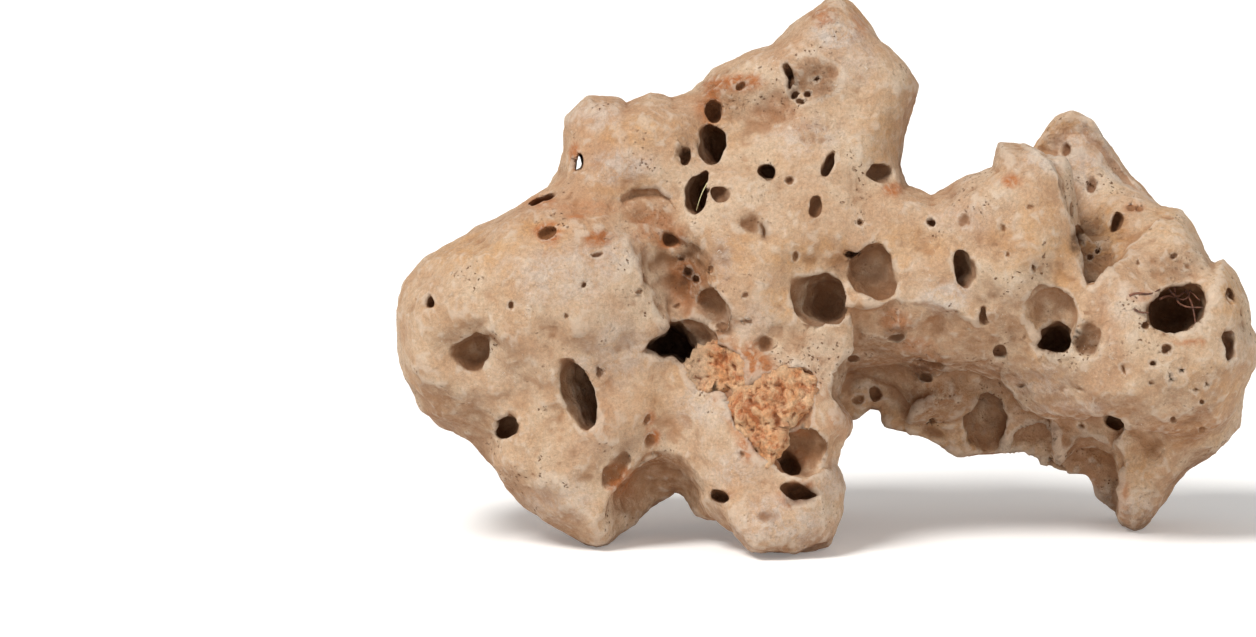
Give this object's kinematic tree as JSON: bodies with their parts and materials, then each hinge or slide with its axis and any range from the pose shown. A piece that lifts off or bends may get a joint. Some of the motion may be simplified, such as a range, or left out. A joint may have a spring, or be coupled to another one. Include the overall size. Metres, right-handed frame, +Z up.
{
  "type": "holey rock",
  "caption": "Loose weathered limestone, eaten by water into an arch, a notch, hollows and holes, with red earth set hard in two of its hollows; stands free on small worn feet.",
  "frame": {"origin": "on the ground, under the middle of the stone's box", "axes": "+X along the length, to the right in the picture; +Y to the back; +Z up as it stands"},
  "size_m": [0.3, 0.1142, 0.1874],
  "materials": {
    "stone": "dry water-worn limestone, matt, tan to cream with greyish bloom and brown hollows",
    "red_earth": "dry crumbly iron-red earth, matt"
  },
  "bodies": {
    "root": {"holey_rock": "stone", "red_earth_large": "red_earth", "red_earth_small": "red_earth"}
  },
  "joints": []
}
